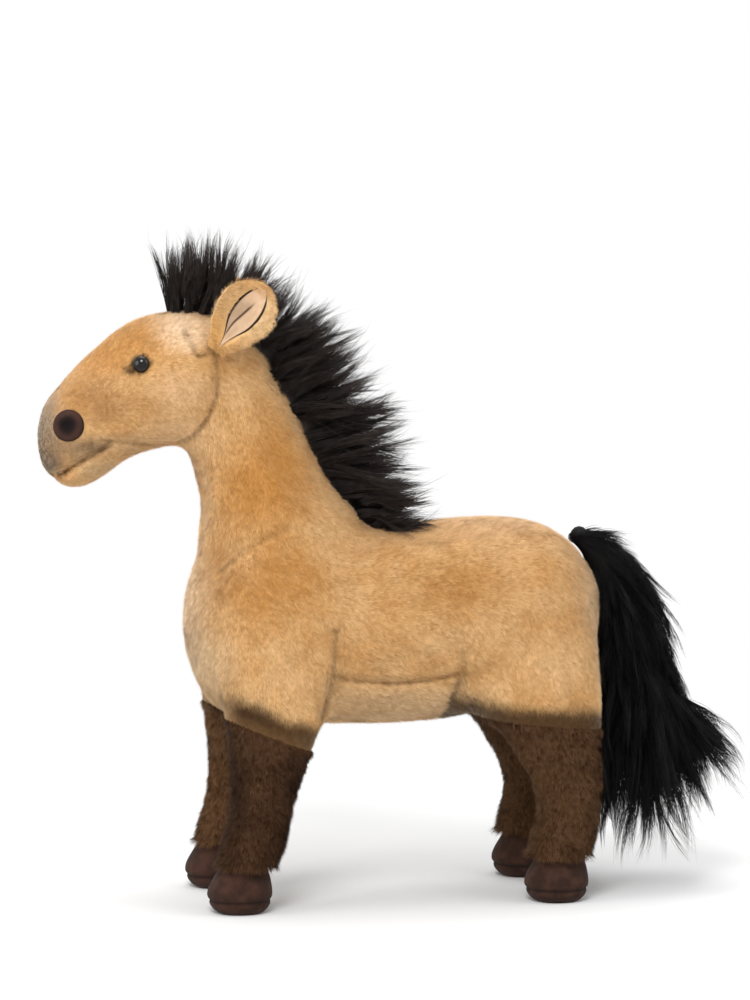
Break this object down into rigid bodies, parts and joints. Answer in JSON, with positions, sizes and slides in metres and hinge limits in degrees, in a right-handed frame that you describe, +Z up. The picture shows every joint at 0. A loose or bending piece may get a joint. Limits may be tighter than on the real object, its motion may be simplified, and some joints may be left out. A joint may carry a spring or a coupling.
{
  "type": "plush horse",
  "caption": "Standing stuffed toy horse with a tan pile pelt, brown stockings, suede hooves, black mane and tail, cupped ears and glossy eyes.",
  "frame": {"origin": "floor level, under the middle of the bounding box, between the hooves", "axes": "+Z up, -X towards the nose, -Y towards the horse's left side"},
  "size_m": [0.3046, 0.0952, 0.288],
  "materials": {
    "tan_pile": "short dense plush pile",
    "brown_pile": "short dense plush pile",
    "hoof_suede": "matt suede cloth",
    "black_pile": "long plush pile",
    "ear_felt": "smooth felt",
    "nostril_suede": "matt suede cloth",
    "eye_plastic": "polished black",
    "washer_plastic": "plain moulded",
    "fibre_fill": "loose polyester filling"
  },
  "bodies": {
    "stuffed_body": {"body_panel_left": "tan_pile", "body_panel_right": "tan_pile", "belly_panel": "tan_pile", "body_fill": "fibre_fill", "neck_panel_left": "tan_pile", "neck_panel_right": "tan_pile", "neck_fill": "fibre_fill", "cheek_panel_left": "tan_pile", "cheek_panel_right": "tan_pile", "brow_panel": "tan_pile", "chin_panel": "tan_pile", "head_fill": "fibre_fill", "eye_left": "eye_plastic", "eye_right": "eye_plastic", "eye_washer_left": "washer_plastic", "eye_washer_right": "washer_plastic", "nostril_left": "nostril_suede", "nostril_right": "nostril_suede", "forelock": "black_pile", "mane": "black_pile", "fore_upper_pelt_left": "tan_pile", "fore_upper_pelt_right": "tan_pile", "fore_stocking_left": "brown_pile", "fore_stocking_right": "brown_pile", "fore_hoof_wall_left": "hoof_suede", "fore_hoof_wall_right": "hoof_suede", "fore_hoof_sole_left": "hoof_suede", "fore_hoof_sole_right": "hoof_suede", "fore_leg_fill_left": "fibre_fill", "fore_leg_fill_right": "fibre_fill", "hind_upper_pelt_left": "tan_pile", "hind_upper_pelt_right": "tan_pile", "hind_stocking_left": "brown_pile", "hind_stocking_right": "brown_pile", "hind_hoof_wall_left": "hoof_suede", "hind_hoof_wall_right": "hoof_suede", "hind_hoof_sole_left": "hoof_suede", "hind_hoof_sole_right": "hoof_suede", "hind_leg_fill_left": "fibre_fill", "hind_leg_fill_right": "fibre_fill"},
    "ear_left": {"ear_back_left": "tan_pile", "ear_lining_left": "ear_felt"},
    "ear_right": {"ear_back_right": "tan_pile", "ear_lining_right": "ear_felt"},
    "dock": {"tail_dock": "black_pile"},
    "tail": {"tail_hair": "black_pile"}
  },
  "joints": [
    {"name": "ear_left_flex", "type": "hinge", "parent": "stuffed_body", "child": "ear_left", "pos_m": [-0.07803, -0.02776, 0.23973], "axis": [0.8543, -0.0731, -0.5146], "range_deg": [-8, 25], "stiffness_Nm_per_rad": 0.01},
    {"name": "ear_right_flex", "type": "hinge", "parent": "stuffed_body", "child": "ear_right", "pos_m": [-0.07803, 0.02776, 0.23973], "axis": [-0.8543, -0.0731, 0.5146], "range_deg": [-8, 25], "stiffness_Nm_per_rad": 0.01},
    {"name": "tail_sway", "type": "hinge", "parent": "stuffed_body", "child": "dock", "pos_m": [0.08594, 0, 0.15548], "axis": [1, 0, 0], "range_deg": [-30, 30]},
    {"name": "tail_lift", "type": "hinge", "parent": "dock", "child": "tail", "pos_m": [0.08594, 0, 0.15548], "axis": [0, -1, 0], "range_deg": [0, 65]}
  ]
}
